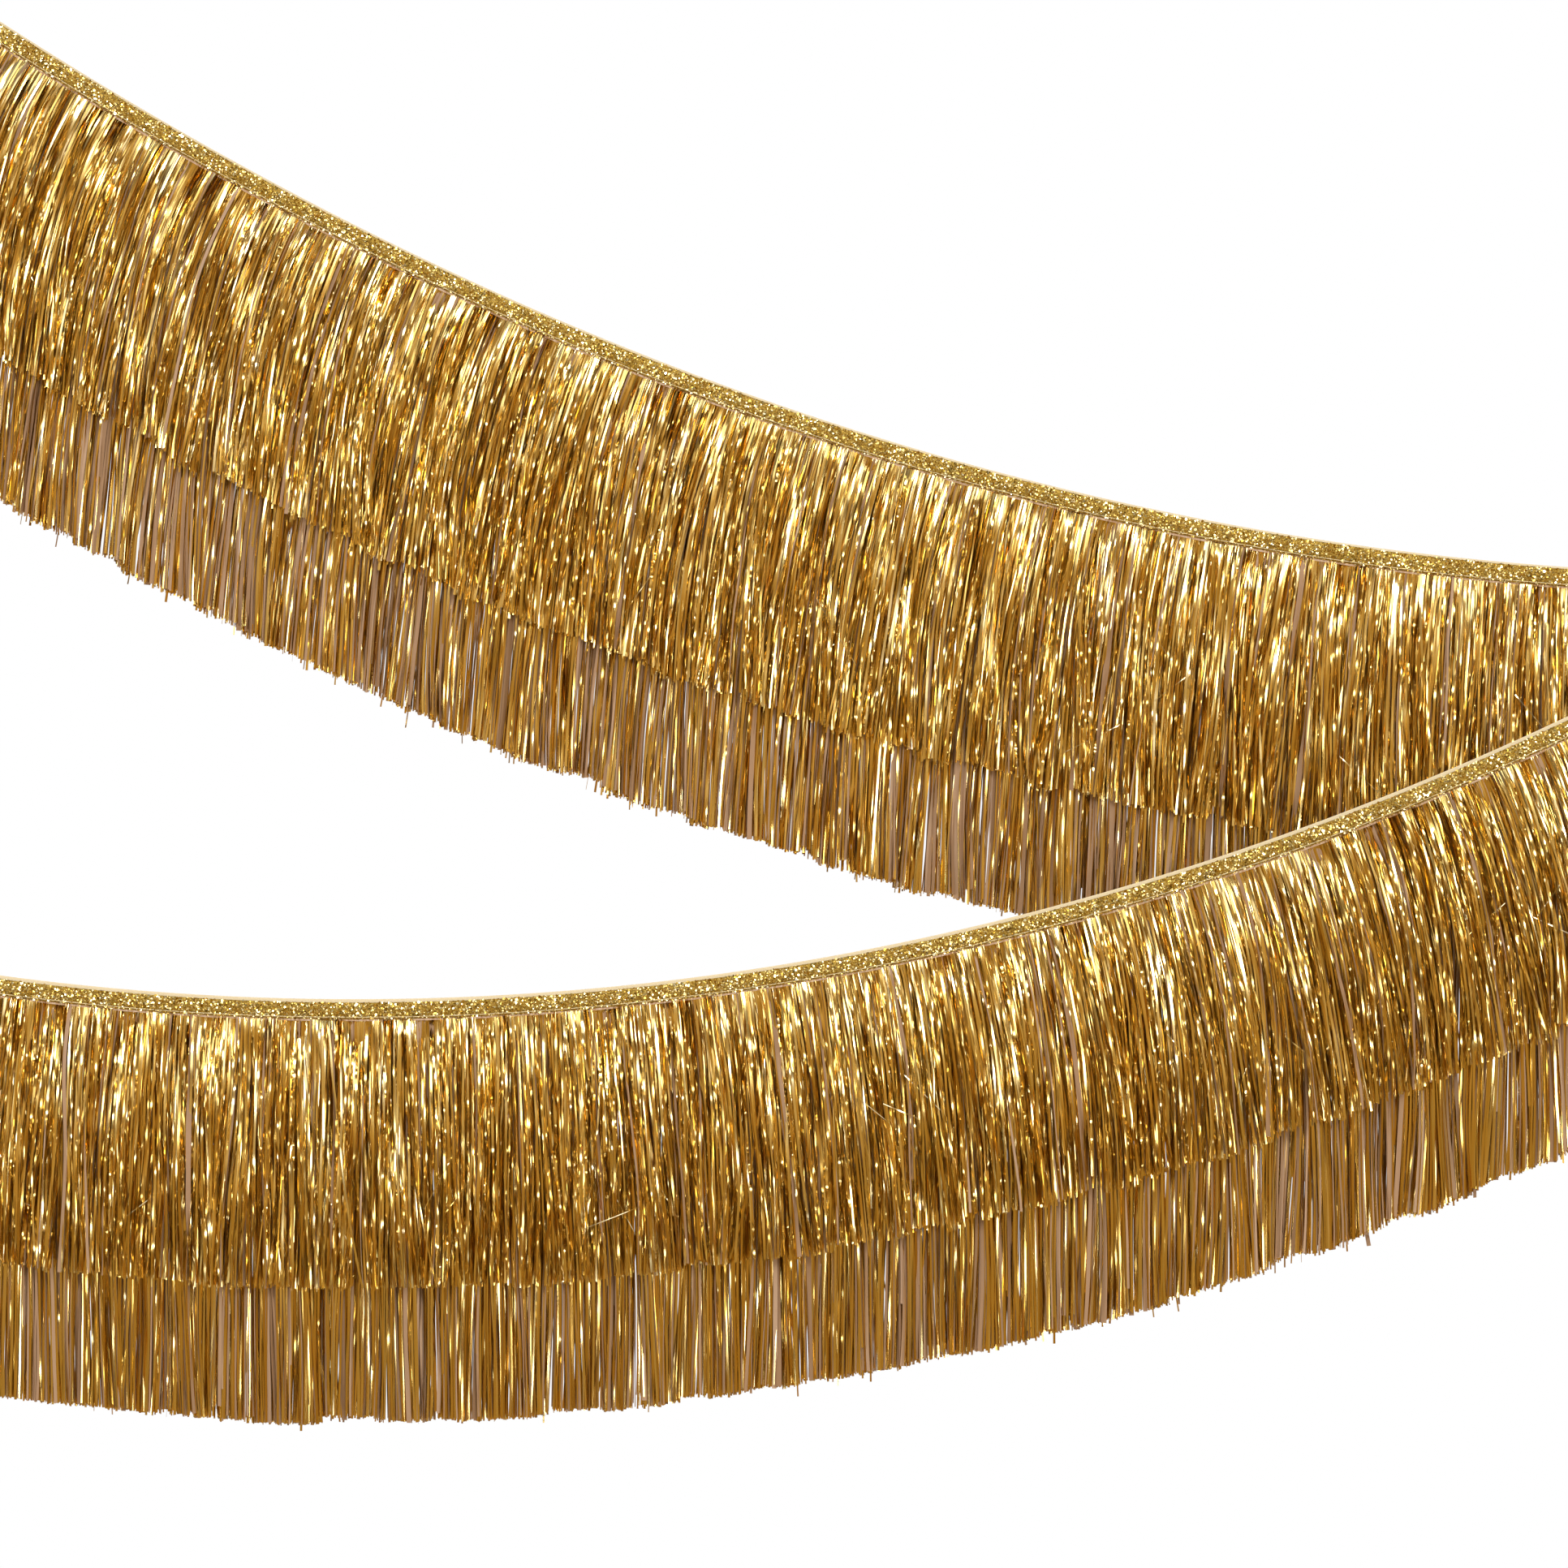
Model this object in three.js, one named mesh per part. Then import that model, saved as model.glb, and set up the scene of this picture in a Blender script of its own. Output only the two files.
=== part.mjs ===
// A tinsel fringe garland hung in two crossing swags.
//
// Each swag is a sewn header (glitter ribbon, two film bands, backing tape and the two threads of one
// row of stitches) that hangs in a catenary from a ribbon loop at each end. Two tiers of thin film
// strands hang from it, short in front and long behind. The strands are grouped in bays: each bay of a
// tier is one plain solid of the true outline, and swings about the header's lower edge.
//
// Millimetres, +X to the right along the garland, +Z up, -Y towards the viewer. The origin is where the
// hook bears inside the upper swag's left loop.
import * as THREE from 'three';

// The two swags. A catenary is y = flatness * (cosh(x / flatness) - 1), measured from its lowest point.
// The header runs from x = start to x = end, and depth is the y of its middle. A tier's length is along
// a strand from the ribbon's lower edge. A strand leaves square to the ribbon and turns straight down
// over its tier's bend length.
const SWAGS = [
  {
    name: 'upper',
    flatness: 1497,
    lowestX: 958,
    lowestZ: -317,
    start: 32,
    end: 877,
    depth: 0,
    front: { length: 141, bend: 100 },
    back: { length: 210, bend: 110 },
  },
  {
    name: 'lower',
    flatness: 1346,
    lowestX: 237,
    lowestZ: -534,
    start: 36,
    end: 872,
    depth: -60,
    front: { length: 136, bend: 100 },
    back: { length: 204, bend: 35 },
  },
];

// Header, from front to back. A layer's front and back are y from the swag's middle.
const RIBBON_WIDTH = 10;
const TAPE_MARGIN = 0.8; // bare edge of the tape above the glitter ribbon
const HEADER_PEEK = 0.6; // film showing under the ribbon's lower edge
const HEADER_HEIGHT = 8;
const THREAD_WIDTH = 0.6;
const THREAD_INSET = 0.9; // middle of the stitches above the ribbon's lower edge
const LAYERS = {
  needleThread: { front: -1.95, back: -1.55 },
  glitterRibbon: { front: -1.25, back: -0.75 },
  frontHeader: { front: -0.45, back: -0.15 },
  backHeader: { front: 0.15, back: 0.45 },
  backingTape: { front: 0.75, back: 1.25 },
  bobbinThread: { front: 1.55, back: 1.95 },
};
const BAND_STEPS = 40;

// Fringe. A tier's tip gap is what keeps two bays apart at their tips, which close in on each other as
// the bays lift.
const BAYS = 6;
const FRONT_TIER = { name: 'front', front: -1.7, back: -0.3, tipGap: 7.5 };
const BACK_TIER = { name: 'back', front: 0.3, back: 1.7, tipGap: 3.5 };
const SWING_CLEARANCE = 2.2; // bare strand between the ribbon's edge and the solid
const ROOT_GAP = 1.2; // between two bays, at the ribbon
const BAY_STEPS = 6;

// Hanging loop: a sewn tab, then an eye with a flat back, made of ribbon folded back on itself.
const LOOP_CLEARANCE = 1; // between the header's end and the tab
const TAB_LENGTH = 9;
const LOOP_LENGTH = 39;
const STRAP_THICKNESS = 0.5;
const LOOP_BACK = 2.4;
const LOOP_BULGE = -8;
const LOOP_STEPS = 16;
const TACK_LENGTH = 1.6;
const TACK_HEIGHT = 7;

const COLOURS = {
  glitter: { color: 0x96782a, roughness: 0.35, metalness: 0.9 },
  tape: { color: 0xe1c88c, roughness: 0.6, metalness: 0.1 },
  film: { color: 0xb98a3c, roughness: 0.25, metalness: 1 },
  thread: { color: 0xf0e2b0, roughness: 0.5, metalness: 0.3 },
  frontFringe: { color: 0xd7a53c, roughness: 0.2, metalness: 1 },
  backFringe: { color: 0x96600f, roughness: 0.22, metalness: 1 },
};

const garland = new THREE.Group();

function addPiece(name, geometry, finish) {
  const piece = new THREE.Mesh(geometry, new THREE.MeshStandardMaterial(finish));
  piece.name = name;
  garland.add(piece);
}

// A solid with the given outline in the XZ plane, between two values of y.
function plate(outline, front, back) {
  const shape = new THREE.Shape(outline);
  const geometry = new THREE.ExtrudeGeometry(shape, { depth: back - front, bevelEnabled: false });
  geometry.rotateX(Math.PI / 2);
  geometry.translate(0, back, 0);
  return geometry;
}

// Distance along the header's middle line, from the lowest point to the point at x.
function lengthAt(swag, x) {
  return swag.flatness * Math.sinh((x - swag.lowestX) / swag.flatness);
}

// The header's slope at a distance along it, as an angle.
function slopeAt(swag, length) {
  return Math.atan(length / swag.flatness);
}

// The point at a distance along the header, moved across it (up is positive).
function headerPoint(swag, length, across) {
  const turn = Math.asinh(length / swag.flatness);
  const slope = slopeAt(swag, length);
  return new THREE.Vector2(
    swag.lowestX + swag.flatness * turn - across * Math.sin(slope),
    swag.lowestZ + swag.flatness * (Math.cosh(turn) - 1) + across * Math.cos(slope),
  );
}

// The point at a distance down the strand that leaves the header at a distance along it.
function strandPoint(swag, bend, length, down) {
  const lean = Math.sin(slopeAt(swag, length));
  const root = headerPoint(swag, length, -RIBBON_WIDTH / 2);
  const turned = 1 - Math.exp(-down / bend);
  const saved = 1 - Math.exp((-2 * down) / bend);
  root.x += lean * bend * turned;
  root.y += ((lean * lean * bend) / 4) * saved - down;
  return root;
}

// One layer of the header, between two distances across it.
function band(swag, low, high, layer) {
  const start = lengthAt(swag, swag.start);
  const end = lengthAt(swag, swag.end);
  const outline = [];
  for (let step = 0; step <= BAND_STEPS; step += 1) {
    outline.push(headerPoint(swag, THREE.MathUtils.lerp(start, end, step / BAND_STEPS), low));
  }
  for (let step = BAND_STEPS; step >= 0; step -= 1) {
    outline.push(headerPoint(swag, THREE.MathUtils.lerp(start, end, step / BAND_STEPS), high));
  }
  return plate(outline, swag.depth + layer.front, swag.depth + layer.back);
}

function addHeader(swag) {
  const edge = RIBBON_WIDTH / 2;
  const ribbonTop = edge - TAPE_MARGIN;
  const filmLow = -edge - HEADER_PEEK;
  const filmHigh = filmLow + HEADER_HEIGHT;
  const threadLow = THREAD_INSET - edge - THREAD_WIDTH / 2;
  const threadHigh = threadLow + THREAD_WIDTH;
  const pieces = [
    ['needle_thread', threadLow, threadHigh, LAYERS.needleThread, COLOURS.thread],
    ['glitter_ribbon', -edge, ribbonTop, LAYERS.glitterRibbon, COLOURS.glitter],
    ['front_header', filmLow, filmHigh, LAYERS.frontHeader, COLOURS.film],
    ['back_header', filmLow, filmHigh, LAYERS.backHeader, COLOURS.film],
    ['backing_tape', -edge, edge, LAYERS.backingTape, COLOURS.tape],
    ['bobbin_thread', threadLow, threadHigh, LAYERS.bobbinThread, COLOURS.thread],
  ];
  for (const [name, low, high, layer, finish] of pieces) {
    addPiece(`${swag.name}_${name}`, band(swag, low, high, layer), finish);
  }
}

// A bay of one tier. Its sides follow the strands, and the gap to the next bay widens downwards.
function bay(swag, tier, index) {
  const start = lengthAt(swag, swag.start);
  const bayLength = (lengthAt(swag, swag.end) - start) / BAYS;
  const { length, bend } = swag[tier.name];
  const point = (across, down) => {
    const place = strandPoint(swag, bend, start + (index + across) * bayLength, down);
    place.x += (0.5 - across) * THREE.MathUtils.lerp(ROOT_GAP, tier.tipGap, down / length);
    return place;
  };
  const downAt = (part) => THREE.MathUtils.lerp(SWING_CLEARANCE, length, part * part);
  const outline = [];
  for (let step = 0; step < BAY_STEPS; step += 1) {
    outline.push(point(0, downAt(step / BAY_STEPS)));
  }
  for (let step = 0; step < BAY_STEPS; step += 1) {
    outline.push(point(step / BAY_STEPS, length));
  }
  for (let step = BAY_STEPS; step > 0; step -= 1) {
    outline.push(point(1, downAt(step / BAY_STEPS)));
  }
  for (let step = BAY_STEPS; step > 0; step -= 1) {
    outline.push(point(step / BAY_STEPS, SWING_CLEARANCE));
  }
  return plate(outline, swag.depth + tier.front, swag.depth + tier.back);
}

function addFringe(swag) {
  for (let index = 0; index < BAYS; index += 1) {
    const ending = `fringe_${index + 1}`;
    addPiece(`${swag.name}_front_${ending}`, bay(swag, FRONT_TIER, index), COLOURS.frontFringe);
    addPiece(`${swag.name}_back_${ending}`, bay(swag, BACK_TIER, index), COLOURS.backFringe);
  }
}

// A point of the eye's outline, seen along the ribbon's width: x is outwards from the header's end. The
// eye is half an ellipse, flat at the back and bulging to the front.
function eyePoint(angle, inset) {
  const halfLength = (LOOP_LENGTH - TAB_LENGTH) / 2;
  const out = Math.cos(angle) * (halfLength - inset);
  const forward = Math.sin(angle) * (LOOP_BACK - LOOP_BULGE - 2 * inset);
  return new THREE.Vector2(TAB_LENGTH + halfLength + out, LOOP_BACK - inset - forward);
}

// The eye's outline from its far end round the front to the given angle.
function eyeOutline(inset, lastAngle) {
  const outline = [];
  for (let step = 0; step <= LOOP_STEPS; step += 1) {
    outline.push(eyePoint((lastAngle * step) / LOOP_STEPS, inset));
  }
  return outline;
}

// A loop's outline with its opening: the tab, then the eye.
function loopShape() {
  const tabFront = LAYERS.glitterRibbon.front;
  const tabAngle = Math.PI - Math.asin((LOOP_BACK - tabFront) / (LOOP_BACK - LOOP_BULGE));
  const shape = new THREE.Shape([
    new THREE.Vector2(LOOP_CLEARANCE, LOOP_BACK),
    new THREE.Vector2(LOOP_CLEARANCE, tabFront),
    ...eyeOutline(0, tabAngle).reverse(),
  ]);
  shape.holes.push(new THREE.Path(eyeOutline(STRAP_THICKNESS, Math.PI)));
  return shape;
}

// Mirroring turns a solid inside out, so its triangles are wound the other way round again.
function mirrorAcross(geometry) {
  geometry.scale(-1, 1, 1);
  const position = geometry.getAttribute('position');
  const first = new THREE.Vector3();
  const last = new THREE.Vector3();
  for (let corner = 0; corner < position.count; corner += 3) {
    first.fromBufferAttribute(position, corner);
    last.fromBufferAttribute(position, corner + 2);
    position.setXYZ(corner, last.x, last.y, last.z);
    position.setXYZ(corner + 2, first.x, first.y, first.z);
  }
}

// Turns a solid made with x outwards, y to the back and z up the ribbon's width into its place at one
// end of a swag's header.
function placeAtEnd(geometry, swag, side) {
  const length = lengthAt(swag, side === 'left' ? swag.start : swag.end);
  const end = headerPoint(swag, length, 0);
  if (side === 'left') {
    mirrorAcross(geometry);
  }
  geometry.rotateY(-slopeAt(swag, length));
  geometry.translate(end.x, swag.depth, end.y);
}

function addLoop(swag, side) {
  const loop = new THREE.ExtrudeGeometry(loopShape(), { depth: RIBBON_WIDTH, bevelEnabled: false });
  loop.translate(0, 0, -RIBBON_WIDTH / 2);
  placeAtEnd(loop, swag, side);
  addPiece(`${swag.name}_${side}_loop`, loop, COLOURS.glitter);

  const { front, back } = LAYERS.needleThread;
  const tack = new THREE.BoxGeometry(TACK_LENGTH, back - front, TACK_HEIGHT).toNonIndexed();
  tack.translate((LOOP_CLEARANCE + TAB_LENGTH) / 2, (front + back) / 2, 0);
  placeAtEnd(tack, swag, side);
  addPiece(`${swag.name}_${side}_bar_tack`, tack, COLOURS.thread);
}

for (const swag of SWAGS) {
  addHeader(swag);
  addFringe(swag);
  addLoop(swag, 'left');
  addLoop(swag, 'right');
}

export default garland;
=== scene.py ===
import math

import bmesh
import bpy
import numpy as np
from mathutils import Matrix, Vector


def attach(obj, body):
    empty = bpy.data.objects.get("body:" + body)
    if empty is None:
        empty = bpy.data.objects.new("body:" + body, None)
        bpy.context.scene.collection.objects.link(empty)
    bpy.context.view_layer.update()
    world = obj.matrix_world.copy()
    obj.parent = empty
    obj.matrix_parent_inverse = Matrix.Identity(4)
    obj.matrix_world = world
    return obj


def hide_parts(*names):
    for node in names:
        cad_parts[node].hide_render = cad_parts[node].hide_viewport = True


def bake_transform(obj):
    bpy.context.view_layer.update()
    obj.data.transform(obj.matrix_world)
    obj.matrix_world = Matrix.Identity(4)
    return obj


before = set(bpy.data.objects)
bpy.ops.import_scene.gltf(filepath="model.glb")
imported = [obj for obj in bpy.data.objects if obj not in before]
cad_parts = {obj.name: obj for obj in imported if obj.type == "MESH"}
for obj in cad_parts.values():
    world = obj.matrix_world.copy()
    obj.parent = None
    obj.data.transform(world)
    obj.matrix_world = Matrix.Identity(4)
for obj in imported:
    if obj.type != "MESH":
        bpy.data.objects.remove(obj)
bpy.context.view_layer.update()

MM = 0.001

# The swags: their curves, runs, depths, lengths and bends are the CAD's. A catenary is
# flatness * (cosh(x / flatness) - 1). A strand leaves square to the ribbon and turns straight down over
# its tier's bend length. Bulge is how far the outermost strands stand off the header, reach and
# roundness are how soon they get there, and settle is how far their tips hang back. Lively is how much a
# tier's strands twist and crinkle, and the tape margin is the bare tape above the glitter.
SWAGS = [
    {
        "name": "upper",
        "flatness": 1.497,
        "lowest": (0.958, -0.317),
        "run": (0.032, 0.877),
        "depth": 0.0,
        "bulge": 5 * MM,
        "reach": (20 * MM, 55 * MM),
        "roundness": 1.1,
        "settle": 0.0,
        "glitter_tilt": 0.1,
        "tape_margin": 1.1 * MM,
        "front": {"length": 141 * MM, "bend": 100 * MM, "lively": 1.0},
        "back": {"length": 210 * MM, "bend": 110 * MM, "lively": 0.65},
    },
    {
        "name": "lower",
        "flatness": 1.346,
        "lowest": (0.237, -0.534),
        "run": (0.036, 0.872),
        "depth": -0.06,
        "bulge": 12 * MM,
        "reach": (44 * MM, 74 * MM),
        "roundness": 1.5,
        "settle": 8 * MM,
        "glitter_tilt": 0.16,
        "tape_margin": 1.7 * MM,
        "front": {"length": 136 * MM, "bend": 100 * MM, "lively": 1.05},
        "back": {"length": 204 * MM, "bend": 35 * MM, "lively": 0.35},
    },
]
RIBBON_WIDTH = 10 * MM
HEADER_PEEK = 1.1 * MM  # film that shows under the ribbon
FILM_OVERLAP = 3 * MM  # film behind the ribbon, up from its lower edge
BAYS = 6
BAND_STEPS = 240

# Layers of the header: y of the middle and thickness.
GLITTER_Y = -1.0 * MM
TAPE_Y = 1.0 * MM
BAND_THICKNESS = 0.5 * MM
FILM_Y = 0.3 * MM
FILM_THICKNESS = 0.3 * MM
THREAD_Y = 1.6 * MM
THREAD_RADIUS = 0.2 * MM
STITCH_LENGTH = 4.2 * MM
STITCH_INSET = 0.9 * MM

# The two tiers of the fringe. Outward is away from the header: the front tier's is towards the viewer.
# Step is the length of one stretch of a strand, wide and dull are shares of the strands (dull strips are
# non-metallic mauve-brown film), and lean is how far a tuft's tips move sideways.
TIERS = {
    "front": {
        "outward": -1,
        "layers": 4,
        "step": 4.5 * MM,
        "wide": 0.01,
        "dull": 0.03,
        "lean": 1.8 * MM,
        "seed": 11,
    },
    "back": {
        "outward": 1,
        "layers": 7,
        "step": 7.4 * MM,
        "wide": 0.06,
        "dull": 0.18,
        "lean": 0.6 * MM,
        "seed": 23,
    },
}
STRIP_WIDTH = 1.15 * MM
CLUMP_WIDTH = 14 * MM
NOTCHES = 9
HAIRS_PER_BAY = 3
HAIR_WIDTH = 0.35 * MM

# Hanging loops, as the CAD has them: a sewn tab, then an eye with a flat back.
LOOP_CLEARANCE = 1 * MM
TAB_LENGTH = 9 * MM
LOOP_LENGTH = 39 * MM
LOOP_BACK = 2.4 * MM
LOOP_BULGE = -8 * MM
TACK_LENGTH = 1.6 * MM
TACK_HEIGHT = 7 * MM

FLAKES_PER_METRE = 15500
FLAKE_RADII = (0.22, 0.4, 0.85)  # smallest, usual and largest, in millimetres
VIEW_WIDTH = 0.805  # what the camera sees across at the upper swag
VIEW_CENTRE = (0.4545, -0.42)
LENS = 200
SENSOR = 36
FLOOR_X = (-1.5, 2.4)
FLOOR_Y = (-0.9, 1.8)
FLOOR_Z = -1.4


# ---------------------------------------------------------------- the curve of a swag
def length_at(swag, x):
    """Distance along the header's middle line from its lowest point to the point at x."""
    return swag["flatness"] * np.sinh((x - swag["lowest"][0]) / swag["flatness"])


def header_point(swag, length, across):
    """x and z of points at a distance along the header, moved across it (up is positive)."""
    flatness = swag["flatness"]
    turn = np.arcsinh(length / flatness)
    slope = np.arctan(length / flatness)
    x = swag["lowest"][0] + flatness * turn - across * np.sin(slope)
    z = swag["lowest"][1] + flatness * (np.cosh(turn) - 1) + across * np.cos(slope)
    return x, z


def header_run(swag):
    """The distances along the header where it starts and ends."""
    return length_at(swag, swag["run"][0]), length_at(swag, swag["run"][1])


def strand_point(swag, bend, length, down):
    """x and z of points down the strands that leave the header square to it and turn straight down."""
    lean = np.sin(np.arctan(length / swag["flatness"]))
    x, z = header_point(swag, length, -RIBBON_WIDTH / 2)
    below = np.maximum(down, 0)
    above = np.minimum(down, 0)
    turned = 1 - np.exp(-below / bend)
    saved = 1 - np.exp(-2 * below / bend)
    x = x + lean * (bend * turned + above)
    z = z + lean**2 * bend / 4 * saved - below - above * np.sqrt(1 - lean**2)
    return x, z


# ---------------------------------------------------------------- materials
def new_material(name):
    """A material with only a Principled shader, and its node tree."""
    material = bpy.data.materials.new(name)
    material.use_nodes = True
    tree = material.node_tree
    return material, tree, tree.nodes["Principled BSDF"]


def colour_ramp(tree, stops):
    """A ramp node from position and colour pairs."""
    node = tree.nodes.new("ShaderNodeValToRGB")
    elements = node.color_ramp.elements
    while len(elements) < len(stops):
        elements.new(0.5)
    for element, (position, colour) in zip(elements, stops):
        element.position = position
        element.color = (*colour, 1)
    return node


def attribute_value(tree, name):
    """The output of a per-strand number kept on the mesh."""
    node = tree.nodes.new("ShaderNodeAttribute")
    node.attribute_name = name
    return node.outputs["Fac"]


def stretched_noise(tree, scale, stretch, detail=3):
    """Noise in the object's own space, stretched along z by a factor."""
    coords = tree.nodes.new("ShaderNodeTexCoord")
    mapping = tree.nodes.new("ShaderNodeMapping")
    mapping.inputs["Scale"].default_value = (1, 1, 1 / stretch)
    noise = tree.nodes.new("ShaderNodeTexNoise")
    noise.inputs["Scale"].default_value = scale
    noise.inputs["Detail"].default_value = detail
    tree.links.new(coords.outputs["Object"], mapping.inputs["Vector"])
    tree.links.new(mapping.outputs["Vector"], noise.inputs["Vector"])
    return noise.outputs["Fac"]


def add_bump(tree, shader, height, strength, distance):
    """Bump from a height socket, on the shader's normal."""
    bump = tree.nodes.new("ShaderNodeBump")
    bump.inputs["Strength"].default_value = strength
    bump.inputs["Distance"].default_value = distance
    tree.links.new(height, bump.inputs["Height"])
    tree.links.new(bump.outputs["Normal"], shader.inputs["Normal"])


def roughness_between(tree, shader, source, low, high):
    """Roughness that varies with a socket between two values."""
    spread = tree.nodes.new("ShaderNodeMapRange")
    spread.inputs["To Min"].default_value = low
    spread.inputs["To Max"].default_value = high
    tree.links.new(source, spread.inputs["Value"])
    tree.links.new(spread.outputs["Result"], shader.inputs["Roughness"])


def base_from(tree, shader, source, stops):
    """Base colour from a ramp over a socket."""
    ramp = colour_ramp(tree, stops)
    tree.links.new(source, ramp.inputs["Fac"])
    tree.links.new(ramp.outputs["Color"], shader.inputs["Base Color"])


def film_material(name, stops, metallic, roughness):
    """Film strips: a tone for each strand, fine crinkles along it and a clear top face."""
    material, tree, shader = new_material(name)
    base_from(tree, shader, attribute_value(tree, "tone"), stops)
    shader.inputs["Metallic"].default_value = metallic
    shader.inputs["Coat Weight"].default_value = 0.3 * metallic
    shader.inputs["Coat Roughness"].default_value = 0.12
    crinkle = stretched_noise(tree, 520, 10)
    roughness_between(tree, shader, crinkle, *roughness)
    add_bump(tree, shader, crinkle, 0.08, 0.4 * MM)
    return material


FILM_STOPS = [
    (0.0, (0.58, 0.35, 0.07)),
    (0.35, (0.86, 0.62, 0.19)),
    (0.6, (0.91, 0.72, 0.29)),
    (1.0, (0.97, 0.86, 0.54)),
]
# Dull strips: non-metallic mauve-brown film, rough and without a metal sheen.
DULL_STOPS = [(0.0, (0.30, 0.17, 0.08)), (0.5, (0.42, 0.26, 0.15)), (1.0, (0.52, 0.36, 0.24))]


def flake_material():
    """Glitter flakes: mirrors with a tone for each flake."""
    material, tree, shader = new_material("glitter_flake")
    stops = [(0.0, (0.42, 0.26, 0.03)), (0.45, (0.88, 0.66, 0.20)), (1.0, (1.0, 0.94, 0.62))]
    base_from(tree, shader, attribute_value(tree, "tone"), stops)
    shader.inputs["Metallic"].default_value = 1.0
    shader.inputs["Roughness"].default_value = 0.16
    return material


def glue_material():
    """The darker bed that the flakes are stuck in."""
    material, tree, shader = new_material("glitter_bed")
    grain = stretched_noise(tree, 1400, 1, 4)
    stops = [(0.3, (0.16, 0.09, 0.008)), (0.55, (0.42, 0.27, 0.04)), (0.75, (0.74, 0.54, 0.14))]
    base_from(tree, shader, grain, stops)
    shader.inputs["Metallic"].default_value = 0.7
    roughness_between(tree, shader, grain, 0.3, 0.6)
    add_bump(tree, shader, grain, 0.8, 0.4 * MM)
    return material


def tape_material():
    """Cream woven tape."""
    material, tree, shader = new_material("woven_tape")
    weave = stretched_noise(tree, 2600, 1, 2)
    base_from(tree, shader, weave, [(0.3, (0.78, 0.64, 0.38)), (0.7, (0.95, 0.86, 0.62))])
    shader.inputs["Sheen Weight"].default_value = 0.3
    roughness_between(tree, shader, weave, 0.55, 0.8)
    add_bump(tree, shader, weave, 0.5, 0.2 * MM)
    return material


def header_film_material():
    """The uncut film of the header, pinkish where it shows under the ribbon."""
    material, tree, shader = new_material("header_film")
    streaks = stretched_noise(tree, 900, 3)
    base_from(tree, shader, streaks, [(0.35, (0.72, 0.48, 0.32)), (0.65, (0.95, 0.78, 0.64))])
    shader.inputs["Metallic"].default_value = 0.25
    roughness_between(tree, shader, streaks, 0.3, 0.5)
    return material


def thread_material():
    """Light gold sewing thread."""
    material, tree, shader = new_material("sewing_thread")
    twist = stretched_noise(tree, 3200, 1, 2)
    base_from(tree, shader, twist, [(0.3, (0.72, 0.55, 0.24)), (0.7, (0.97, 0.88, 0.58))])
    shader.inputs["Sheen Weight"].default_value = 0.4
    roughness_between(tree, shader, twist, 0.3, 0.5)
    add_bump(tree, shader, twist, 0.4, 0.1 * MM)
    return material


def floor_material():
    """The pale studio floor."""
    material, tree, shader = new_material("studio_floor")
    grain = stretched_noise(tree, 6, 1)
    base_from(tree, shader, grain, [(0.3, (0.80, 0.80, 0.80)), (0.7, (0.84, 0.84, 0.84))])
    shader.inputs["Roughness"].default_value = 0.8
    return material


def make_materials():
    """Every material of the garland, by name."""
    return {
        "film": film_material("gold_film", FILM_STOPS, 1.0, (0.11, 0.26)),
        "dull": film_material("dull_film", DULL_STOPS, 0.0, (0.5, 0.75)),
        "glitter": flake_material(),
        "glue": glue_material(),
        "tape": tape_material(),
        "header_film": header_film_material(),
        "thread": thread_material(),
        "floor": floor_material(),
    }


# ---------------------------------------------------------------- meshes
def mesh_piece(name, points, quads, material, smooth=True, **numbers):
    """An object from arrays of points and faces, with a number for each point under each name."""
    mesh = bpy.data.meshes.new(name)
    mesh.vertices.add(len(points))
    mesh.vertices.foreach_set("co", np.asarray(points, np.float32).ravel())
    corners = np.asarray(quads, np.int32)
    mesh.loops.add(corners.size)
    mesh.loops.foreach_set("vertex_index", corners.ravel())
    mesh.polygons.add(len(corners))
    starts = np.arange(0, corners.size, corners.shape[1], dtype=np.int32)
    mesh.polygons.foreach_set("loop_start", starts)
    mesh.update(calc_edges=True)
    mesh.polygons.foreach_set("use_smooth", np.full(len(corners), smooth))
    for key, values in numbers.items():
        layer = mesh.attributes.new(key, "FLOAT", "POINT")
        layer.data.foreach_set("value", np.asarray(values, np.float32))
    mesh.materials.append(material)
    mesh.validate()
    piece = bpy.data.objects.new(name, mesh)
    bpy.context.scene.collection.objects.link(piece)
    return piece


def grid_faces(rows, columns, closed=False):
    """The faces of a grid of points numbered row by row, closed round each row if asked."""
    row = np.arange(rows - 1)[:, None]
    column = np.arange(columns if closed else columns - 1)[None, :]
    after = (column + 1) % columns
    this_row = row * columns
    next_row = (row + 1) * columns
    corners = [this_row + column, this_row + after, next_row + after, next_row + column]
    return np.stack(corners, -1).reshape(-1, 4)


# Round-edged section of a band: shares of its width and thickness. The last face but two is its outside.
SECTION = np.array([(0, 0.3), (0.04, 0), (0.96, 0), (1, 0.3), (1, 0.7), (0.96, 1), (0.04, 1), (0, 0.7)])
OUTSIDE = 5


def sweep_piece(name, centres, widthways, thickways, size, materials):
    """A closed band along a path, with one width and thickness. A second material goes on its outside."""
    width, thickness = size
    rings = centres[:, None, :] + widthways[:, None, :] * ((SECTION[:, 0] - 0.5) * width)[None, :, None]
    rings = rings + thickways[:, None, :] * ((SECTION[:, 1] - 0.5) * thickness)[None, :, None]
    faces = grid_faces(len(centres), len(SECTION), closed=True)
    piece = mesh_piece(name, rings.reshape(-1, 3), faces, materials[0])
    if len(materials) > 1:
        piece.data.materials.append(materials[1])
        index = np.tile(np.arange(len(SECTION)) == OUTSIDE, len(centres) - 1).astype(np.int32)
        piece.data.polygons.foreach_set("material_index", index)
    cap_ends(piece, len(SECTION))
    return piece


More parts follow.
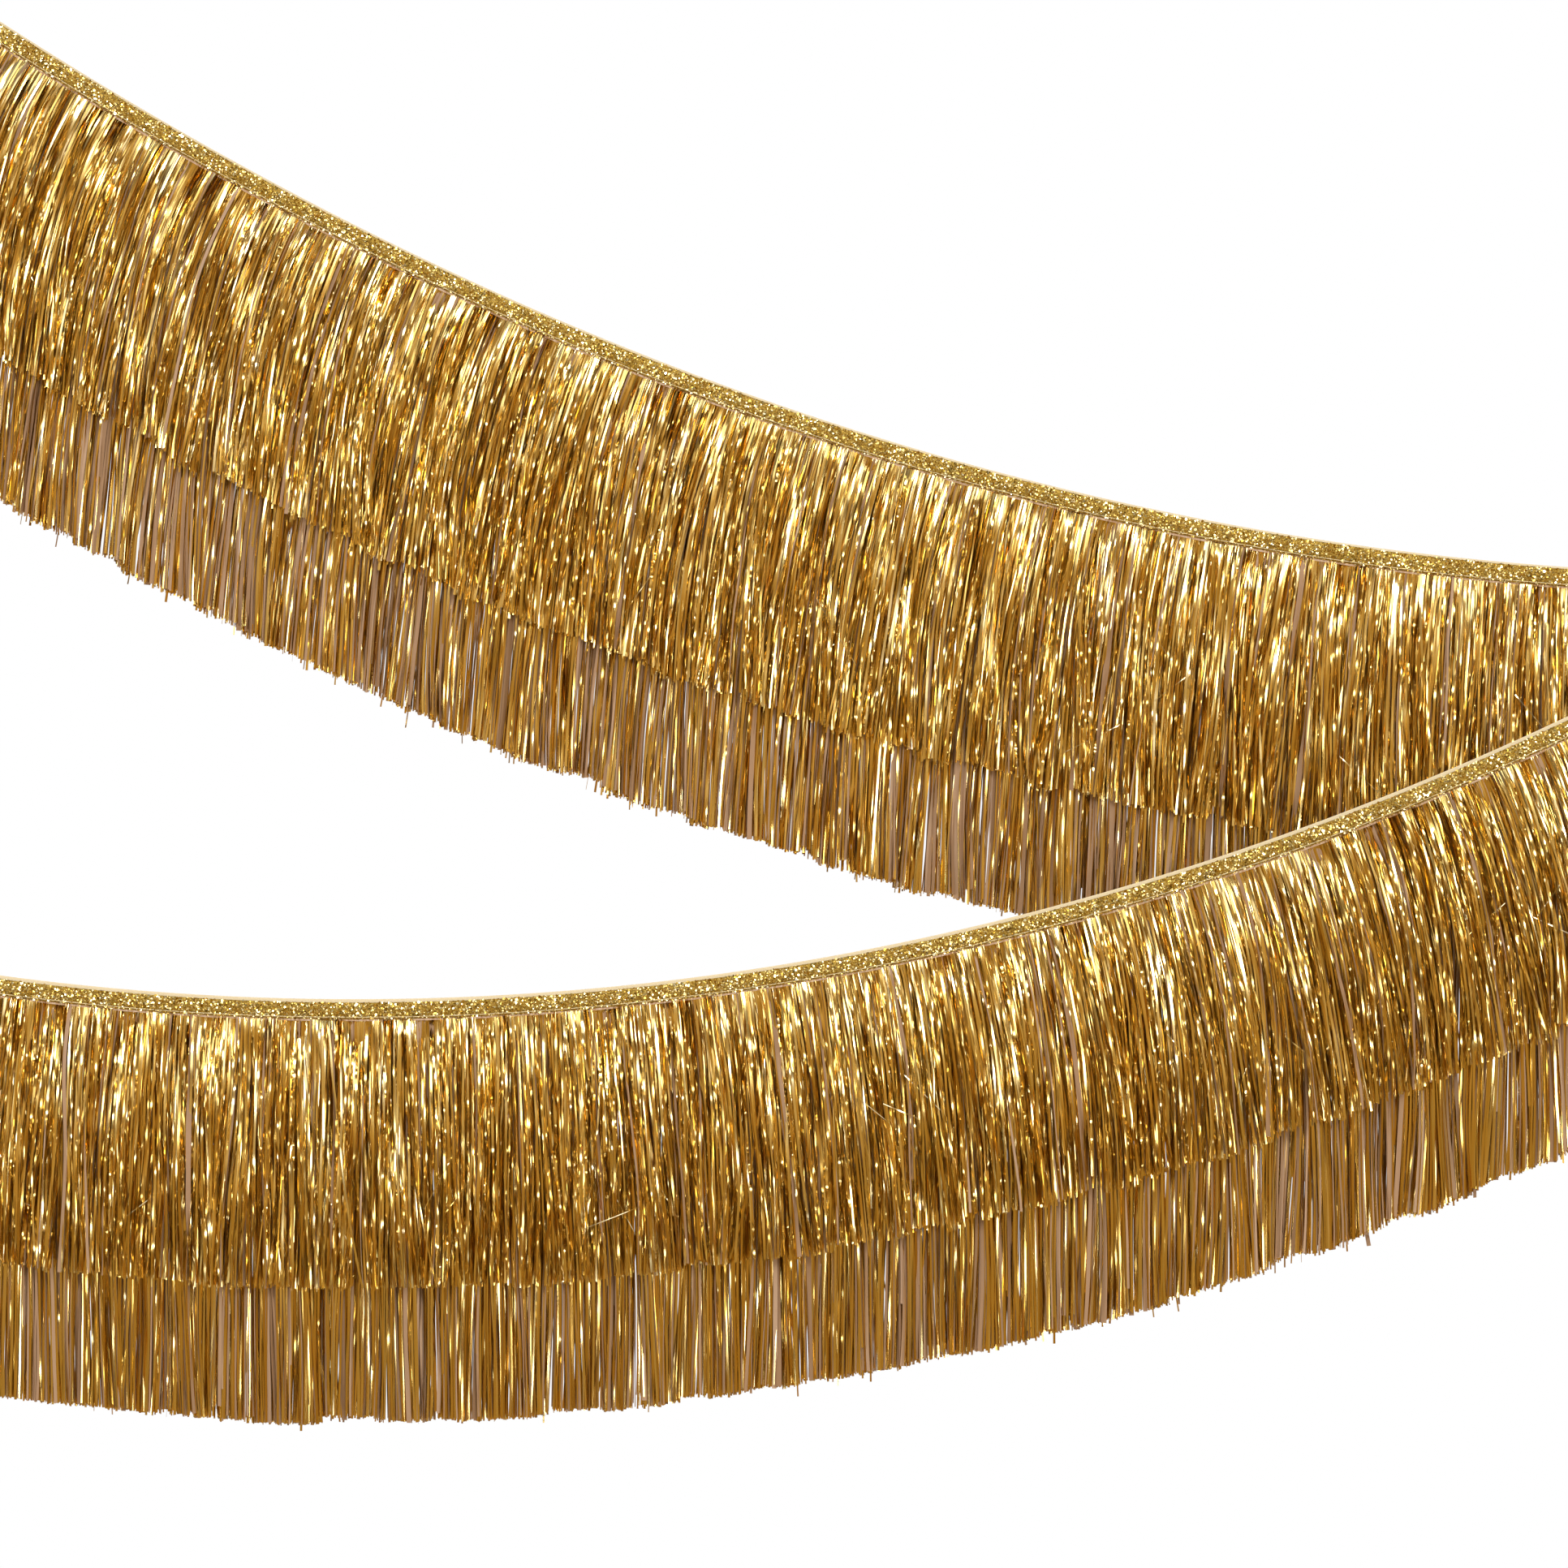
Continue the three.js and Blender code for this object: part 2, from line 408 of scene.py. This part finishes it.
def cap_ends(piece, ring):
    """Closes both ends of a tube whose first and last rings have that many points."""
    solid = bmesh.new()
    solid.from_mesh(piece.data)
    solid.verts.ensure_lookup_table()
    count = len(solid.verts)
    solid.faces.new([solid.verts[i] for i in range(ring)])
    solid.faces.new([solid.verts[i] for i in range(count - 1, count - 1 - ring, -1)])
    bmesh.ops.recalc_face_normals(solid, faces=solid.faces)
    solid.to_mesh(piece.data)
    solid.free()


def header_frame(swag, length, across, y):
    """Points along the header, with the directions across it and through it, as (point, xyz) arrays."""
    x, z = header_point(swag, length, across)
    slope = np.arctan(length / swag["flatness"])
    centres = np.stack([x, swag["depth"] + y + 0 * x, z], -1)
    widthways = np.stack([-np.sin(slope), 0 * slope, np.cos(slope)], -1)
    return centres, widthways, np.tile([0.0, 1.0, 0.0], (len(length), 1))


def band_piece(name, swag, low, high, y, thickness, materials):
    """A closed flat band that follows the header between two distances across it."""
    length = np.linspace(*header_run(swag), BAND_STEPS)
    centres, widthways, thickways = header_frame(swag, length, (low + high) / 2, y)
    return sweep_piece(name, centres, widthways, thickways, (high - low, thickness), materials)


def tube_points(path, up, out, radius, ring=6):
    """Rings of points round a path: up and out are the directions of each ring, radius its size."""
    angle = np.arange(ring) * 2 * np.pi / ring
    around = np.cos(angle)[None, :, None] * up[:, None, :] + np.sin(angle)[None, :, None] * out[:, None, :]
    return (path[:, None, :] + around * radius[:, None, None]).reshape(-1, 3)


def flake_piece(name, centre, normal, random, material):
    """Small six-sided glitter flakes with the given centres and normals."""
    first = np.cross(normal, [0.31, 0.2, 0.93])
    first /= np.linalg.norm(first, axis=1, keepdims=True)
    second = np.cross(normal, first)
    count = len(centre)
    smallest, usual, largest = FLAKE_RADII
    radius = np.clip(random.lognormal(math.log(usual), 0.3, count), smallest, largest)[:, None] * MM
    turn = random.uniform(0, np.pi, count)[:, None]
    corners = []
    for angle in np.arange(6) * np.pi / 3:
        corners.append(centre + radius * (np.cos(angle + turn) * first + np.sin(angle + turn) * second))
    faces = np.arange(count * 6).reshape(-1, 6)
    tone = np.repeat(random.random(count), 6)
    return mesh_piece(name, np.stack(corners, 1).reshape(-1, 3), faces, material, smooth=False, tone=tone)


# ---------------------------------------------------------------- fringe
def smooth_wander(random, count, steps, waves, size):
    """A smooth random walk down each strand, zero at the root: a few sines of random phase."""
    along = np.linspace(0, 1, steps)[None, :]
    total = np.zeros((count, steps))
    for wave in waves:
        phase = random.uniform(0, 2 * np.pi, (count, 1))
        rate = random.normal(wave, wave * 0.25, (count, 1))
        total += size / wave * (np.sin(2 * np.pi * rate * along + phase) - np.sin(phase))
    return total


def shared_field(random, along, down, count, period, drop, size):
    """A smooth field that neighbouring strands share: waves of random direction and phase."""
    total = np.zeros(np.broadcast_shapes(along.shape, down.shape))
    for _ in range(count):
        across = period * random.uniform(0.5, 1.8)
        fall = drop * random.uniform(0.6, 1.8) * random.choice([-1, 1])
        total += np.sin(2 * np.pi * (along / across + down / fall) + random.uniform(0, 2 * np.pi))
    return total * size / math.sqrt(count / 2)


def clumps(swag, tier, length, random):
    """How far each strand's tip goes along with its clump, and how much longer its clump is."""
    start, end = header_run(swag)
    count = int((end - start) / CLUMP_WIDTH)
    edges = start + (np.arange(count + 1) + random.uniform(-0.45, 0.45, count + 1)) * (end - start) / count
    index = np.clip(np.searchsorted(edges, length) - 1, 0, count - 1)
    middle = (edges[index] + edges[index + 1]) / 2
    tight = random.beta(1.0, 7.0, count) * 0.3
    lean = random.normal(0, tier["lean"], count)
    tip = random.normal(0, 1.0 * MM, count)
    return (middle - length) * tight[index] + lean[index], tip[index]


def strand_roots(swag, layers, random):
    """Where each strand of one tier leaves the header, and the film layer that it belongs to."""
    start, end = header_run(swag)
    per_layer = int((end - start) / STRIP_WIDTH)
    layer = np.repeat(np.arange(layers), per_layer)
    place = np.tile((np.arange(per_layer) + 0.5) / per_layer, layers)
    offset = (layer / layers - 0.5) * STRIP_WIDTH
    jitter = random.normal(0, 0.25 * MM, len(layer))
    return np.clip(start + (end - start) * place + offset + jitter, start, end), layer / (layers - 1)


def strand_lengths(full, root, tip, random):
    """The strands' lengths: cut nearly level, with notches, a few broken strands and a few long ones."""
    count = len(tip)
    length = full + tip + random.normal(0, 0.7 * MM, count)
    for place in random.uniform(root.min(), root.max(), NOTCHES):
        notch = np.exp(-(((root - place) / (1.6 * MM)) ** 4))
        length = length - random.uniform(2, 7) * MM * notch
    broken = random.random(count) < 0.05
    length = np.where(broken, length - random.uniform(3, 40, count) * MM, length)
    stray = random.random(count) < 0.008
    return np.where(stray, length + random.uniform(1.5, 6, count) * MM, length)


def strand_paths(swag, tier, shape, root, rank, random):
    """The middle line of every strand, as (strand, step, xyz), and the distance down each."""
    pull, tip = clumps(swag, tier, root, random)
    length = strand_lengths(shape["length"], root, tip, random)
    count = len(root)
    steps = int(shape["length"] / tier["step"]) + 1
    down = length[:, None] * np.linspace(0, 1, steps)[None, :]
    share = down / shape["length"]
    along = root[:, None]
    loose = np.minimum(down / (4 * MM), 1)
    lively = shape["lively"] * loose
    x, z = strand_point(swag, shape["bend"], along, down)
    drift = random.normal(0, 1.5 * MM, count)
    drift = drift + random.normal(0, 8 * MM, count) * (random.random(count) < 0.04)
    lean = shared_field(random, along, down, 6, 38 * MM, 300 * MM, 1.6 * MM)
    x = x + (pull[:, None] + drift[:, None]) * share**1.5 + lean * share
    x = x + smooth_wander(random, count, steps, (0.6, 1.4, 3.1), 0.4 * MM) * loose

    bulge = (0.25 + 0.75 * rank) * swag["bulge"] + random.normal(0, 1.0 * MM, count)
    reach = random.uniform(*swag["reach"], count)[:, None]
    reach = reach * (1 + shared_field(random, along, 0 * down, 5, 40 * MM, 1.0, 0.2))
    away = bulge[:, None] * (1 - np.exp(-((down / reach) ** swag["roundness"])))
    depth = tier["outward"] * (FILM_Y + away + 0.3 * np.abs(drift)[:, None] * share)
    depth = depth + swag["settle"] * share**2
    depth = depth + shared_field(random, along, down, 8, 24 * MM, 85 * MM, 0.85 * MM) * lively
    depth = depth + smooth_wander(random, count, steps, (0.9, 2.2, 3.8), 0.75 * MM) * lively
    return np.stack([x, swag["depth"] + depth, z], -1), down


def add_hairs(swag, shape, root, path, down, random):
    """Adds short broken strands caught slantwise across the front of each bay to the front tier's."""
    start, end = header_run(swag)
    bay = (end - start) / BAYS
    index = np.repeat(np.arange(BAYS), HAIRS_PER_BAY)
    share = np.linspace(0, 1, path.shape[1])[None, :]
    middle = start + (index + random.uniform(0.2, 0.8, len(index))) * bay
    slant = random.choice([-1, 1], len(index)) * random.uniform(0.04, 0.2, len(index)) * bay
    fall = random.uniform(0.35, 0.75, len(index)) * shape["length"]
    drop = random.uniform(8, 30, len(index)) * MM
    lower = fall[:, None] + drop[:, None] * share
    x, z = strand_point(swag, shape["bend"], middle[:, None] + slant[:, None] * (share - 0.5), lower)
    settled = swag["settle"] * (lower / shape["length"]) ** 2
    lift = swag["bulge"] + (1.2 + 1.2 * np.sin(np.pi * share)) * MM
    hairs = np.stack([x, swag["depth"] - lift + settled, z], -1)
    root = np.concatenate([root, middle])
    return root, np.concatenate([path, hairs]), np.concatenate([down, lower])


def strand_turns(lively, root, down, random):
    """How far each strand is turned about its own line at each step."""
    count, steps = down.shape
    twist = random.lognormal(-0.6, 0.7, (count, 1))
    yaw = smooth_wander(random, count, steps, (0.5, 1.2, 2.6), 0.75) * twist
    yaw = yaw + shared_field(random, root[:, None], down, 8, 18 * MM, 160 * MM, 0.42)
    yaw = yaw + random.normal(0, 0.32, (count, 1))
    return yaw * lively * np.clip(0.7 + down / (8 * MM), 0, 1)


def build_tier(swag, tier_name):
    """All strands of one tier as (strand, step, side, xyz): their tones, which are dull non-metallic
    strips, their roots.
    """
    tier = TIERS[tier_name]
    shape = swag[tier_name]
    random = np.random.default_rng(tier["seed"] + round(shape["length"] / MM))
    root, rank = strand_roots(swag, tier["layers"], random)
    count = len(root)
    path, down = strand_paths(swag, tier, shape, root, rank, random)
    if tier_name == "front":
        root, path, down = add_hairs(swag, shape, root, path, down, random)
    hair = np.arange(len(root)) >= count
    count = len(root)
    tangent = np.gradient(path, axis=1)
    tangent /= np.linalg.norm(tangent, axis=2, keepdims=True)
    sideways = np.cross(tangent, [0.0, 1.0, 0.0])
    sideways /= np.linalg.norm(sideways, axis=2, keepdims=True)
    forward = np.cross(sideways, tangent)
    yaw = strand_turns(shape["lively"], root, down, random)[..., None]
    wide = random.random(count) < tier["wide"]
    width = STRIP_WIDTH * random.uniform(0.55, 1.15, count)
    width = width * np.where(wide, random.uniform(1.6, 2.8, count), 1)
    width = np.where(hair, HAIR_WIDTH, width)
    half = (np.cos(yaw) * sideways + np.sin(yaw) * forward) * width[:, None, None] / 2
    points = np.stack([path - half, path + half], 2)
    # Dull strips, all the wide ones among them, take the non-metallic mauve-brown film.
    dull = (wide | (random.random(count) < tier["dull"])) & ~hair
    tone = np.where(hair, 1.0, random.beta(2.0, 2.0, count))
    return points, tone, dull, root


def add_fringe(swag, tier_name, materials):
    """One piece for each bay of a tier, its strands bending from the header down."""
    points, tone, dull, root = build_tier(swag, tier_name)
    steps = points.shape[1]
    start, end = header_run(swag)
    name = swag["name"]
    made = []
    for index in range(BAYS):
        low = start + (end - start) * index / BAYS
        high = start + (end - start) * (index + 1) / BAYS
        mine = (root >= low) & ((root < high) | (index == BAYS - 1))
        count = int(mine.sum())
        strip = grid_faces(steps, 2)
        faces = (strip[None] + (np.arange(count) * steps * 2)[:, None, None]).reshape(-1, 4)
        number = index + 1
        piece = mesh_piece(
            f"{name}_{tier_name}_strands_{number}",
            points[mine].reshape(-1, 3),
            faces,
            materials["film"],
            tone=np.repeat(tone[mine], steps * 2),
        )
        # Second material: the dull mauve-brown film of the dull strips.
        piece.data.materials.append(materials["dull"])
        index_of_film = np.repeat(dull[mine].astype(np.int32), steps - 1)
        piece.data.polygons.foreach_set("material_index", index_of_film)
        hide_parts(f"{name}_{tier_name}_fringe_{number}")
        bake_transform(piece)
        made.append(piece)
    return made


# ---------------------------------------------------------------- header
def add_flakes(swag, material):
    """The glitter of the header's ribbon: flakes at random tilts, in patches that lean together."""
    random = np.random.default_rng(5 if swag["name"] == "upper" else 6)
    start, end = header_run(swag)
    count = int((end - start) * FLAKES_PER_METRE)
    length = random.uniform(start, end, count)
    across = random.uniform(-RIBBON_WIDTH / 2, RIBBON_WIDTH / 2 - swag["tape_margin"], count)
    x, z = header_point(swag, length, across)
    front = swag["depth"] + GLITTER_Y - BAND_THICKNESS / 2
    centre = np.stack([x, front - random.uniform(0.05, 0.3, count) * MM, z], -1)
    tilt = shared_field(random, length, across, 7, 17 * MM, 30 * MM, 0.16) + random.normal(0, 0.3, count)
    tilt = tilt + swag["glitter_tilt"]
    turn = shared_field(random, length, across, 7, 12 * MM, 30 * MM, 0.1) + random.normal(0, 0.3, count)
    normal = np.stack([np.sin(turn), -np.cos(tilt) * np.cos(turn), np.sin(tilt) * np.cos(turn)], -1)
    return flake_piece(f"{swag['name']}_glitter", centre, normal, random, material)


def stitch_row(name, swag, side, material):
    """A row of lockstitches: short threads that rise out of the ribbon and dip back into it."""
    start, end = header_run(swag)
    steps, ring = 9, 6
    share = np.linspace(0, 1, steps)
    rise = np.sin(np.pi * share)
    stitches = []
    for index in range(int((end - start) / STITCH_LENGTH)):
        length = start + (index + 0.04 + 0.92 * share) * STITCH_LENGTH
        path, up, out = header_frame(swag, length, STITCH_INSET - RIBBON_WIDTH / 2, side * THREAD_Y)
        path = path + out * side * (0.35 * rise[:, None] - 0.1) * MM
        stitches.append(tube_points(path, up, out, THREAD_RADIUS * (0.75 + 0.25 * rise), ring))
    one = grid_faces(steps, ring, closed=True)
    faces = (one[None] + (np.arange(len(stitches)) * steps * ring)[:, None, None]).reshape(-1, 4)
    return mesh_piece(name, np.concatenate(stitches), faces, material)


def add_header(swag, materials):
    """Ribbon, flakes, tape, film bands and both rows of stitches of one swag."""
    name = swag["name"]
    edge = RIBBON_WIDTH / 2
    top = edge - swag["tape_margin"]
    ribbon = band_piece(f"{name}_ribbon", swag, -edge, top, GLITTER_Y, BAND_THICKNESS, [materials["glue"]])
    tape = band_piece(f"{name}_tape", swag, -edge, edge, TAPE_Y, BAND_THICKNESS, [materials["tape"]])
    pieces = [
        (ribbon, "glitter_ribbon", f"{name}_glitter_ribbon"),
        (add_flakes(swag, materials["glitter"]), "glitter_ribbon", None),
        (tape, "backing_tape", f"{name}_backing_tape"),
    ]
    for side, word in ((-1, "front"), (1, "back")):
        low = -edge - HEADER_PEEK
        film = band_piece(
            f"{name}_{word}_film",
            swag,
            low,
            FILM_OVERLAP - edge,
            side * FILM_Y,
            FILM_THICKNESS,
            [materials["header_film"]],
        )
        pieces.append((film, "film", f"{name}_{word}_header"))
    for side, word in ((-1, "needle"), (1, "bobbin")):
        row = stitch_row(f"{name}_{word}_stitches", swag, side, materials["thread"])
        pieces.append((row, "thread", f"{name}_{word}_thread"))
    for piece, slot, node in pieces:
        if node:
            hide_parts(node)
        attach(piece, f"{name}_header")
    return ribbon, tape


# ---------------------------------------------------------------- hanging loops
def end_frame(swag, side):
    """Where a swag's header ends on one side, and the directions outwards and up the ribbon there."""
    start, end = header_run(swag)
    length = start if side == "left" else end
    sign = -1 if side == "left" else 1
    x, z = header_point(swag, length, 0)
    slope = math.atan(length / swag["flatness"])
    outwards = sign * np.array([math.cos(slope), 0, math.sin(slope)])
    return np.array([x, swag["depth"], z]), outwards, np.array([-math.sin(slope), 0, math.cos(slope)])


def place_at_end(swag, side, out, y, up):
    """Points in space from distances outwards of the header's end, through the ribbon and up it."""
    origin, outwards, upwards = end_frame(swag, side)
    through = np.array([0.0, 1.0, 0.0])
    return origin + out[:, None] * outwards + y[:, None] * through + up[:, None] * upwards


def strap_path():
    """The middle line of the loop's strap, outwards and through: tab front, round the eye, flat back."""
    inset = BAND_THICKNESS / 2
    half_length = (LOOP_LENGTH - TAB_LENGTH) / 2
    forward = LOOP_BACK - LOOP_BULGE - 2 * inset
    tab_angle = math.pi - math.asin((LOOP_BACK - inset - GLITTER_Y) / forward)
    angle = np.linspace(tab_angle, 0, 48)
    eye_out = TAB_LENGTH + half_length + np.cos(angle) * (half_length - inset)
    eye_y = LOOP_BACK - inset - np.sin(angle) * forward
    tab_out = np.linspace(LOOP_CLEARANCE, eye_out[0], 12)[:-1]
    back_out = np.linspace(eye_out[-1], LOOP_CLEARANCE, 30)[1:]
    out = np.concatenate([tab_out, eye_out, back_out])
    y = np.concatenate([np.full(len(tab_out), GLITTER_Y), eye_y, np.full(len(back_out), LOOP_BACK - inset)])
    path = np.stack([out, y], -1)
    for _ in range(6):
        path[1:-1] = (path[:-2] + 2 * path[1:-1] + path[2:]) / 4
    return path


def add_strap(swag, side, materials):
    """The ribbon that makes the loop, glitter side out, with flakes on it."""
    path = strap_path()
    along = np.gradient(path, axis=0)
    along /= np.linalg.norm(along, axis=1, keepdims=True)
    facing = np.stack([along[:, 1], -along[:, 0]], -1)
    _, outwards, upwards = end_frame(swag, side)
    through = np.array([0.0, 1.0, 0.0])
    centres = place_at_end(swag, side, path[:, 0], path[:, 1], np.zeros(len(path)))
    thickways = facing[:, :1] * outwards + facing[:, 1:] * through
    name = f"{swag['name']}_{side}"
    strap = sweep_piece(
        f"{name}_strap",
        centres,
        np.tile(upwards, (len(path), 1)),
        thickways,
        (RIBBON_WIDTH, BAND_THICKNESS),
        [materials["tape"], materials["glue"]],
    )
    random = np.random.default_rng(31 if side == "left" else 32)
    count = int(2 * LOOP_LENGTH * FLAKES_PER_METRE)
    step = random.integers(0, len(path) - 1, count)
    share = random.random(count)[:, None]
    middle = centres[step] * (1 - share) + centres[step + 1] * share
    normal = thickways[step] + random.normal(0, 0.3, (count, 3))
    normal /= np.linalg.norm(normal, axis=1, keepdims=True)
    across = random.uniform(-1, 1, count)[:, None] * (RIBBON_WIDTH / 2 - 0.4 * MM)
    proud = BAND_THICKNESS / 2 + random.uniform(0.03, 0.2, count)[:, None] * MM
    flakes = flake_piece(
        f"{name}_loop_glitter", middle + across * upwards + proud * thickways[step], normal, random,
        materials["glitter"],
    )
    return strap, flakes


def add_fold(swag, side, index, y, materials):
    """One of the ribbon's folded ends inside the tab, a little shorter at each layer."""
    out = np.linspace(LOOP_CLEARANCE + 0.2 * MM, TAB_LENGTH - (0.2 + 0.5 * index) * MM, 10)
    centres = place_at_end(swag, side, out, np.full(10, y), np.zeros(10))
    upwards = np.tile(end_frame(swag, side)[2], (10, 1))
    thickways = np.tile([0.0, 1.0, 0.0], (10, 1))
    size = (RIBBON_WIDTH - 0.5 * MM, 0.45 * MM)
    name = f"{swag['name']}_{side}_fold_{index + 1}"
    return sweep_piece(name, centres, upwards, thickways, size, [materials["tape"]])


def add_tack(swag, side, materials):
    """The bar tack: one thread that zigzags across the tab in close satin stitches."""
    turns, steps, ring = 22, 8, 6
    share = np.linspace(0, 1, turns * steps)
    swing = np.sin(np.pi * share * turns)
    out = (LOOP_CLEARANCE + TAB_LENGTH) / 2 + swing * TACK_LENGTH / 2
    up = (share - 0.5) * TACK_HEIGHT
    y = -THREAD_Y + 0.1 * MM + 0.25 * MM * swing**2
    path = place_at_end(swag, side, out, y, up)
    along = np.gradient(path, axis=0)
    along /= np.linalg.norm(along, axis=1, keepdims=True)
    front = np.tile([0.0, 1.0, 0.0], (len(path), 1))
    beside = np.cross(along, front)
    beside /= np.linalg.norm(beside, axis=1, keepdims=True)
    radius = np.full(len(path), 0.85 * THREAD_RADIUS)
    points = tube_points(path, beside, np.cross(along, beside), radius, ring)
    faces = grid_faces(len(path), ring, closed=True)
    tack = mesh_piece(f"{swag['name']}_{side}_tack", points, faces, materials["thread"])
    cap_ends(tack, ring)
    return tack


def add_neck(swag, side, materials):
    """The tape inside the header that runs on into the tab."""
    start, end = header_run(swag)
    reach = 6 * MM
    edge = start if side == "left" else end
    sign = -1 if side == "left" else 1
    length = edge + sign * np.linspace(-reach, reach, 16)
    centres, widthways, thickways = header_frame(swag, length, 0.4 * MM, 0)
    name = f"{swag['name']}_{side}_neck"
    size = (RIBBON_WIDTH - MM, 0.26 * MM)
    neck = sweep_piece(name, centres, widthways, thickways, size, [materials["tape"]])
    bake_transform(neck)


def add_loop(swag, side, materials):
    """One hanging loop: strap, flakes, folded ends, bar tack and the neck to the header."""
    name = f"{swag['name']}_{side}"
    strap, flakes = add_strap(swag, side, materials)
    tack = add_tack(swag, side, materials)
    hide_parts(f"{name}_loop")
    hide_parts(f"{name}_bar_tack")
    pieces = [(strap, "glitter_ribbon"), (flakes, "glitter_ribbon"), (tack, "thread")]
    for index, y in enumerate((-0.45, 0.45, 1.35)):
        pieces.append((add_fold(swag, side, index, y * MM, materials), "backing_tape"))
    for piece, slot in pieces:
        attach(piece, "loops")
    add_neck(swag, side, materials)


# ---------------------------------------------------------------- studio
def add_camera():
    """Straight on, from far away."""
    data = bpy.data.cameras.new("camera")
    data.lens = LENS
    data.sensor_width = SENSOR
    camera = bpy.data.objects.new("camera", data)
    camera.location = (VIEW_CENTRE[0], -VIEW_WIDTH * LENS / SENSOR, VIEW_CENTRE[1])
    camera.rotation_euler = (math.pi / 2, 0, 0)
    data.clip_end = 100
    bpy.context.scene.collection.objects.link(camera)
    bpy.context.scene.camera = camera


def add_softbox(name, place, target, size, brightness):
    """A rectangular light of an even brightness at a place, turned to a target."""
    data = bpy.data.lights.new(name, "AREA")
    data.shape = "RECTANGLE"
    data.size, data.size_y = size
    data.energy = brightness * math.pi * size[0] * size[1]
    light = bpy.data.objects.new(name, data)
    light.location = place
    away = np.array(place) - np.array(target)
    light.rotation_euler = Vector(away).to_track_quat("Z", "Y").to_euler()
    bpy.context.scene.collection.objects.link(light)


# The room's tone by height, from straight below to straight above.
ROOM_STOPS = [
    (0.0, (0.47, 0.29, 0.09)),
    (0.40, (0.39, 0.22, 0.048)),
    (0.47, (0.45, 0.25, 0.06)),
    (0.50, (0.57, 0.35, 0.107)),
    (0.54, (0.62, 0.40, 0.145)),
    (0.60, (0.38, 0.235, 0.08)),
    (0.74, (0.26, 0.175, 0.075)),
    (0.86, (0.60, 0.56, 0.48)),
    (1.0, (0.90, 0.86, 0.78)),
]


def add_studio(materials):
    """World, floor and softboxes. The world is white to the camera and a dim room to everything else."""
    world = bpy.data.worlds.new("studio")
    bpy.context.scene.world = world
    world.use_nodes = True
    tree = world.node_tree
    room = tree.nodes["Background"]
    coords = tree.nodes.new("ShaderNodeTexCoord")
    height = tree.nodes.new("ShaderNodeSeparateXYZ")
    ramp = colour_ramp(tree, ROOM_STOPS)
    spread = tree.nodes.new("ShaderNodeMapRange")
    spread.inputs["From Min"].default_value = -1
    tree.links.new(coords.outputs["Generated"], height.inputs[0])
    tree.links.new(height.outputs["Z"], spread.inputs["Value"])
    tree.links.new(spread.outputs["Result"], ramp.inputs["Fac"])
    tree.links.new(ramp.outputs["Color"], room.inputs["Color"])
    depth = tree.nodes.new("ShaderNodeMath")
    depth.operation = "ABSOLUTE"
    sides = tree.nodes.new("ShaderNodeMapRange")
    sides.inputs["To Min"].default_value = 0.3
    tree.links.new(height.outputs["Y"], depth.inputs[0])
    tree.links.new(depth.outputs[0], sides.inputs["Value"])
    tree.links.new(sides.outputs["Result"], room.inputs["Strength"])
    backdrop = tree.nodes.new("ShaderNodeBackground")
    backdrop.inputs["Color"].default_value = (1, 1, 1, 1)
    mix = tree.nodes.new("ShaderNodeMixShader")
    path = tree.nodes.new("ShaderNodeLightPath")
    tree.links.new(path.outputs["Is Camera Ray"], mix.inputs[0])
    tree.links.new(room.outputs[0], mix.inputs[1])
    tree.links.new(backdrop.outputs[0], mix.inputs[2])
    tree.links.new(mix.outputs[0], tree.nodes["World Output"].inputs["Surface"])

    corners = [(0, 0), (1, 0), (1, 1), (0, 1)]
    floor_points = [(FLOOR_X[i], FLOOR_Y[j], FLOOR_Z) for i, j in corners]
    floor = mesh_piece("floor", floor_points, [(0, 1, 2, 3)], materials["floor"], smooth=False)

    middle = (VIEW_CENTRE[0], 0, VIEW_CENTRE[1])
    add_softbox("fill", (0.5, -4.9, 2.3), middle, (5.0, 3.0), 1.4)
    add_softbox("key", (1.6, -4.7, 1.65), middle, (1.4, 0.95), 20)
    add_softbox("left_strip", (-4.2, -2.6, 0.2), middle, (0.8, 3.6), 8.5)
    add_softbox("right_strip", (5.0, -1.9, 0.0), middle, (0.8, 3.4), 8.5)
    add_softbox("top", (0.45, -1.4, 4.0), middle, (3.2, 1.0), 4)
    add_softbox("rear", (0.2, 4.8, 1.8), middle, (2.8, 2.0), 5)
    bpy.context.scene.view_settings.view_transform = "Standard"


# ---------------------------------------------------------------- the garland
add_camera()
materials = make_materials()
for swag in SWAGS:
    ribbon, tape = add_header(swag, materials)
    strands = add_fringe(swag, "front", materials) + add_fringe(swag, "back", materials)
    add_loop(swag, "left", materials)
    add_loop(swag, "right", materials)
add_studio(materials)
